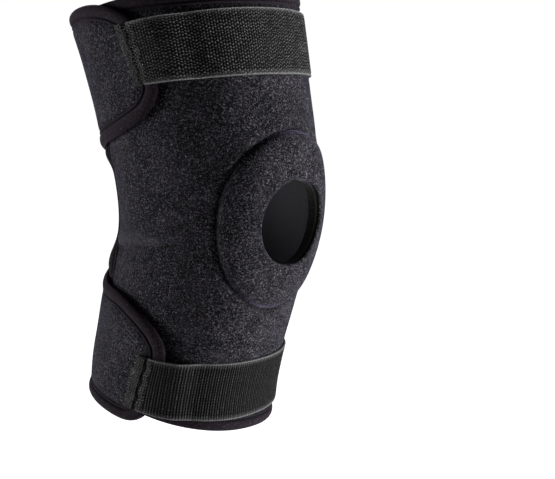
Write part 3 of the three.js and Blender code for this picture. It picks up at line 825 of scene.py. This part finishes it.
def strap_surface(strap, turn, across):
    """Turns, heights and lift of what lies under a strap at these turns and ways across, from -0.5 to
    0.5. The sewn end slants. The lift is read between the four nearest points of a coarse grid."""
    middle, slant, tip = STRAPS[strap]
    at_knot = np.interp(turn, STRAP_KNOTS, np.arange(len(STRAP_KNOTS))) + 0 * across
    at_line = np.interp(across, STRAP_LINES, np.arange(len(STRAP_LINES))) + 0 * turn
    i = np.minimum(at_knot.astype(int), len(STRAP_KNOTS) - 2)
    j = np.minimum(at_line.astype(int), len(STRAP_LINES) - 2)
    u, v = at_knot - i, at_line - j
    coarse = strap_lifts[strap]
    low = coarse[i, j] * (1 - u) + coarse[i + 1, j] * u
    high = coarse[i, j + 1] * (1 - u) + coarse[i + 1, j + 1] * u
    slanted = turn + slant * across * (1 - ease(STRAP_START, tip, turn))
    height = middle * SLEEVE_HEIGHT + across * STRAP_WIDTH + 0 * slanted
    return slanted, height, low * (1 - v) + high * v


def vectors(tree, operation, first, second):
    """The output of one Vector Math node."""
    return add(tree, "VectorMath", {"operation": operation}, in0=first, in1=second).outputs[0]


# The weave: ribs of beads of yarn, set aside in every second rib, each bead with its own tone. Beads
# wider than their rib run together into rows. A slow drift makes the lines a little uneven.
BEAD_PITCH = 0.00195
weave, weave_in, weave_out = new_group(
    "ribbed weave",
    {
        "Vector": ("Vector", None),
        "Rib Pitch": ("Float", 0.0018),
        "Bead Pitch": ("Float", BEAD_PITCH),
        "Second Rib": ("Float", 1.0),
        "Stagger": ("Float", 0.5),
        "Bead Width": ("Float", 0.9),
        "Bead Length": ("Float", 0.7),
    },
    {"Bead": "Float", "Height": "Float"},
)
drift = add(weave, "TexNoise", Vector=weave_in["Vector"], Scale=260.0, Detail=2.0).outputs["Color"]
drift = vectors(weave, "SUBTRACT", drift, (0.5, 0.5, 0.5))
drift = vectors(weave, "MULTIPLY", drift, (0.0010, 0.0030, 0.0))
drifted = vectors(weave, "ADD", drift, weave_in["Vector"])
parts = add(weave, "SeparateXYZ", Vector=drifted).outputs
rib = maths(weave, "DIVIDE", parts[0], weave_in["Rib Pitch"])
rib_number = maths(weave, "FLOOR", rib)
second = maths(weave, "MODULO", rib_number, 2.0)
aside = maths(weave, "MULTIPLY", second, weave_in["Stagger"])
bead = maths(weave, "ADD", maths(weave, "DIVIDE", parts[1], weave_in["Bead Pitch"]), aside)
bead_number = maths(weave, "FLOOR", bead)
across_rib = maths(weave, "MULTIPLY", maths(weave, "PINGPONG", rib, 0.5), 2.0)
along_bead = maths(weave, "MULTIPLY", maths(weave, "PINGPONG", bead, 0.5), 2.0)
wide = steps(weave, across_rib, maths(weave, "SUBTRACT", 0.9, weave_in["Bead Width"]), 0.95)
tall = steps(weave, along_bead, maths(weave, "SUBTRACT", 0.9, weave_in["Bead Length"]), 0.95)
hump = maths(weave, "MULTIPLY", wide, tall)
number = add(weave, "CombineXYZ", X=rib_number, Y=bead_number).outputs[0]
chance = add(weave, "TexWhiteNoise", {"noise_dimensions": "2D"}, Vector=number).outputs[0]
patchy = add(weave, "TexNoise", Vector=weave_in["Vector"], Scale=170.0, Detail=2.0).outputs[0]
own_tone = maths(weave, "ADD", maths(weave, "MULTIPLY", chance, 0.45), steps(weave, patchy, 0.15, 0.75))
weaker = maths(weave, "MULTIPLY", second, maths(weave, "SUBTRACT", 1.0, weave_in["Second Rib"]))
toned = maths(weave, "MULTIPLY", own_tone, maths(weave, "SUBTRACT", 1.0, weaker))
weave.links.new(maths(weave, "MULTIPLY", hump, toned), weave_out["Bead"])
weave.links.new(hump, weave_out["Height"])

# The length of the turned-under end
SEWN_FOLD = {"upper": 0.0045, "lower": 0.0062}
RIB_PITCHES = {"upper": 0.00168, "lower": 0.00190}
# The beads' width and length and how far every second rib is set aside, in shares of their pitch
BEADS = {"upper": (1.5, 0.48, 0.35), "lower": (0.55, 0.95, 0.2)}
# Their tone, and the share of it that every second rib has
BEAD_TONES = {"upper": (0.076, 0.85), "lower": (0.034, 0.3)}


def sewn_line(strap, across):
    """Metres from the strap's end to the line where it is sewn down, which waves a little."""
    return SEWN_FOLD[strap] + LINE_BEHIND + LINE_WAVE * np.sin(across * 23 + 1)


def strap_body(strap, turn, across):
    """Metres along a strap, its thickness, and how much of it is cord, turned under and dented. It
    is thickest on the ribs and in the cords along its sides. The sewn end is turned under, so that it
    is thick there, with a dent at the sewn line behind it: exp(-(distance / width)^2)."""
    along = (turn - STRAP_START) * METRES_PER_DEGREE
    ribbed = 0.5 + 0.5 * np.cos(2 * np.pi * (along / RIB_PITCHES[strap] - 0.5))
    side = np.abs(across)
    looped_cord = 0.75 + 0.25 * np.cos(2 * np.pi * along / CORD_PITCH)
    cord = np.exp(-(((side - CORD_PLACE) / CORD_WIDTH) ** 2)) * looped_cord
    border = ease(0.42, 0.45, side) * 0.12
    rounded = 0.35 + 0.65 * np.sqrt(np.clip((0.5 - side) / 0.014, 0, 1))
    thickness = (STRAP_THICKNESS - CORD_HEIGHT) * rounded
    from_line = along - sewn_line(strap, across)
    fold = 1 - ease(-0.0016, 0, from_line)
    dent = np.exp(-((from_line / DENT_WIDTH) ** 2))
    thickness = thickness + RIB_HEIGHT * ribbed * (side < 0.45) * (1 - fold) + CORD_HEIGHT * cord
    thickness = thickness + TURNED_HEIGHT * fold - DENT_DEPTH * dent
    last = (STRAP_END - STRAP_START) * METRES_PER_DEGREE
    ends = np.minimum(along, last - along)
    thickness = thickness * (0.35 + 0.65 * np.sqrt(np.clip(ends / 0.0009, 0, 1)))
    return along, thickness, np.maximum(cord, border), fold, dent


def strap_points(strap, turn, across, above):
    """Points this far above a strap's underside, which its hook patch raises at the far end."""
    turns, heights, lift = strap_surface(strap, turn, across)
    lift = lift + STRAP_GAP + HOOK_LIFT * ease(HOOK_START - 10, HOOK_START - 2, turn)
    return place(turns, heights, lift + above)


def make_strip(name, top, bottom, along, across, material, masks):
    """A closed strip between two grids of points. Its uv is metres along and across it, and its masks
    are the same on both faces."""
    numbers = np.arange(top[..., 0].size).reshape(top.shape[:2])
    uv = np.stack(np.broadcast_arrays(along, across * STRAP_WIDTH), -1).reshape(-1, 2)
    return make_piece(
        name,
        np.concatenate([top.reshape(-1, 3), bottom.reshape(-1, 3)]),
        layer_quads(grid_quads(numbers), numbers.size),
        material,
        uv=np.tile(uv, (2, 1)),
        masks={key: np.tile((value + 0 * numbers).ravel(), 2) for key, value in masks.items()},
    )


for strap in STRAPS:
    bead_width, bead_length, stagger = BEADS[strap]
    bead_tone, second_rib = BEAD_TONES[strap]
    elastic, tree, shader = new_material(
        f"{strap}_woven_elastic",
        0.7,
        Sheen_Weight=0.04,
        Sheen_Roughness=0.36,
        Sheen_Tint=(0.9, 0.9, 0.95, 1),
        Specular_IOR_Level=0.06,
    )
    along_strap = add(tree, "UVMap", {"uv_map": "metres"}).outputs[0]
    threads = add(
        tree,
        "Group",
        {"node_tree": weave},
        Vector=along_strap,
        Rib_Pitch=RIB_PITCHES[strap],
        Bead_Pitch=BEAD_PITCH,
        Second_Rib=second_rib,
        Stagger=stagger,
        Bead_Width=bead_width,
        Bead_Length=bead_length,
    )
    lint = napped(tree, 0.00050, (0.004, 0.004, 0.004), (0.088, 0.088, 0.086), 0.2)
    bead_colour = (bead_tone, bead_tone, bead_tone, 1)
    ground = blend(tree, threads.outputs["Bead"], (0.0022, 0.0022, 0.0024, 1), bead_colour)
    corded = blend(tree, mask(tree, "cord"), ground, (0.150, 0.150, 0.150, 1))
    frayed = blend(tree, mask(tree, "frayed"), corded, lint["Color"])
    # Painted shade: the dent at the sewn line is coloured black, without its beads or cord
    dent_shade = blend(tree, mask(tree, "dent_shade"), frayed, (0.002, 0.002, 0.002, 1))
    connect(tree, shader, dent_shade, threads.outputs["Height"], strength=0.9, distance=0.0004)
    strap_length = (STRAP_END - STRAP_START) * METRES_PER_DEGREE
    columns = int(strap_length / RIB_PITCHES[strap]) * 5 + 1
    strap_turn = np.linspace(STRAP_START, STRAP_END, columns)[:, None]
    sides = np.array([0.455, 0.466, 0.475, 0.484, 0.493, 0.5])
    strap_across = np.concatenate([-sides[::-1], np.linspace(-0.44, 0.44, 27), sides])[None]
    along, thickness, cord, fold, dent = strap_body(strap, strap_turn, strap_across)
    made = make_strip(
        f"{strap}_elastic_strap",
        strap_points(strap, strap_turn, strap_across, thickness),
        strap_points(strap, strap_turn, strap_across, 0 * thickness),
        along,
        strap_across,
        elastic,
        {"cord": cord, "frayed": fold, "dent_shade": 0.9 * dent},
    )
    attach(made, "root")
    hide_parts(f"{strap}_strap")


# The sewing at the straps' ends. Pale zigzag thread behind the dent, and loose ends of cut yarn that
# stand out from the turned-under end.
pale_yarn, tree, shader = new_material("cut_yarn", 0.7, Sheen_Weight=0.1, Specular_IOR_Level=0.1)
strand = napped(tree, 0.0006, (0.030, 0.030, 0.029), (0.30, 0.30, 0.28), 0.3)
connect(tree, shader, strand["Color"])
ZIGZAG_LEG = 0.028  # share of the strap's width
# Each strap's two rows: metres behind the sewn line, and how far the thread swings to either side
ZIGZAGS = {
    "upper": ((0.0000, 0.0011), (0.0030, 0.0012)),
    "lower": ((0.0026, 0.0014), (0.0046, 0.0012)),
}
# How many loose ends, and how long the longest is
FRAYS = {"upper": (90, 0.0016), "lower": (170, 0.0030)}
CUT_YARN = 0.00026
CUT_END = 0.0006  # what is rooted nearer to the strap's end than this stands out from it
rng = np.random.default_rng(4)
for strap in STRAPS:
    tiers = []
    for behind, reach in ZIGZAGS[strap]:
        corner = np.arange(-0.47, 0.471, ZIGZAG_LEG)
        leg = np.linspace(0, 1, 5)
        across = corner[:-1, None] + ZIGZAG_LEG * leg
        swing = np.where(np.arange(len(corner) - 1) % 2, 1, -1)[:, None] * (leg - 0.5) * 2 * reach
        turn = STRAP_START + (sewn_line(strap, across) + behind + swing) / METRES_PER_DEGREE
        above = strap_body(strap, turn, across)[1] + 0.00012 + 0.00022 * np.sin(np.pi * leg)
        tiers.append(strap_points(strap, turn, across, above))
    points, quads = thread_mesh(np.concatenate(tiers), SEWING_THREAD)
    made = make_piece(f"{strap}_zigzag_thread", points, quads, pale_yarn)
    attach(made, "root")

    count, reach = FRAYS[strap]
    way = np.linspace(0, 1, 6)
    root_across = rng.uniform(-0.49, 0.49, (count, 1))
    root_along = rng.uniform(0.0002, SEWN_FOLD[strap], (count, 1))
    root_along = root_along * (rng.random((count, 1)) < 0.6) + 0.0003
    at_end = root_along < CUT_END
    lean = rng.normal(0, 1, (count, 1))
    length = reach * rng.uniform(0.35, 1.0, (count, 1))
    along = root_along - length * way * at_end + 0.0006 * lean * way * ~at_end
    across = root_across + lean * 0.022 * way**2 + 0.010 * np.sin(3 * way + lean * 2)
    across = np.clip(across, -0.5, 0.5)
    turn = STRAP_START + along / METRES_PER_DEGREE
    thickness = strap_body(strap, np.maximum(turn, STRAP_START + 0.3), across)[1]
    standing = 0.0007 * np.abs(rng.normal(0, 1, (count, 1))) * way * (1.2 - way)
    above = thickness * (1 - 0.5 * way * at_end) + 0.0001 + standing
    points, quads = thread_mesh(strap_points(strap, turn, across, above), CUT_YARN)
    made = make_piece(f"{strap}_frayed_yarn", points, quads, pale_yarn)
    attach(made, "root")


# The hook patches. Black tape of moulded plastic hooks, sewn under each strap's end. Pressed onto the
# loop cloth, it holds the strap.
hooks, tree, shader = new_material("hook_tape", 0.8, Specular_IOR_Level=0.12)
along_patch = add(tree, "UVMap", {"uv_map": "metres"}).outputs[0]
stems = add(
    tree, "Group", {"node_tree": weave}, Vector=along_patch, Rib_Pitch=0.0016, Bead_Pitch=0.0011
).outputs
stemmed = blend(tree, stems["Bead"], (0.004, 0.004, 0.0045, 1), (0.018, 0.018, 0.019, 1))
connect(tree, shader, stemmed, stems["Height"], strength=1.0, distance=0.0006)
for strap in STRAPS:
    patch_turn = np.linspace(HOOK_START, STRAP_END + HOOK_TAB, 60)[:, None]
    patch_across = np.linspace(-0.45, 0.45, 25)[None]
    turns, heights, lift = strap_surface(strap, patch_turn, patch_across)
    made = make_strip(
        f"{strap}_hook_tape",
        place(turns, heights, lift + STRAP_GAP + HOOK_THICKNESS),
        place(turns, heights, lift + STRAP_GAP),
        (patch_turn - HOOK_START) * METRES_PER_DEGREE,
        patch_across,
        hooks,
        {},
    )
    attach(made, "root")
    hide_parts(f"{strap}_hook_patch")


# The studio. A wide pale floor far below the knee, a pale surround, and large soft lights to the
# left and the right of the camera.
FLOOR_HEIGHT, FLOOR_HALF = -0.47, 6
floor_sides = (-FLOOR_HALF, FLOOR_HALF)
floor_corners = [(x, y, FLOOR_HEIGHT) for x in floor_sides for y in floor_sides]
floor_numbers = np.arange(4).reshape(2, 2)
pale, tree, shader = new_material("pale_floor", 0.9, Specular_IOR_Level=0.2)
where = add(tree, "TexCoord").outputs["Object"]
cloudy = add(tree, "TexNoise", Vector=where, Scale=0.8, Detail=2.0).outputs[0]
connect(tree, shader, blend(tree, cloudy, (0.93, 0.93, 0.93, 1), (0.96, 0.96, 0.96, 1)))
shader.inputs["Emission Color"].default_value = (1, 1, 1, 1)
seen = add(tree, "LightPath").outputs["Is Camera Ray"]
tree.links.new(seen, shader.inputs["Emission Strength"])
floor = make_piece("floor", np.array(floor_corners), grid_quads(floor_numbers), pale)

world = bpy.data.worlds.new("pale surround")
world.use_nodes = True
surround = world.node_tree.nodes["Background"]
surround.inputs["Color"].default_value = (1, 1, 1, 1)
seen = add(world.node_tree, "LightPath").outputs["Is Camera Ray"]
strength = maths(world.node_tree, "ADD", maths(world.node_tree, "MULTIPLY", seen, 0.92), 0.10)
world.node_tree.links.new(strength, surround.inputs["Strength"])
bpy.context.scene.world = world


def soft_light(name, right, forward, height, size, power):
    """A square area light these metres to the knee's right, from it towards the camera and above it,
    turned towards a point a little below the knee."""
    lamp = bpy.data.lights.new(name, "AREA")
    lamp.shape = "SQUARE"
    lamp.size = size
    lamp.energy = power
    light = bpy.data.objects.new(name, lamp)
    light.location = right * rightwards + forward * backwards + Vector((0, 0, height))
    aimed_at = Vector((0, 0, -0.05))
    light.rotation_euler = (light.location - aimed_at).to_track_quat("Z", "Y").to_euler()
    bpy.context.collection.objects.link(light)


soft_light("right light", right=1.45, forward=0.25, height=-0.42, size=0.9, power=112)
soft_light("left light", right=-1.5, forward=-0.10, height=-0.30, size=1.0, power=48)
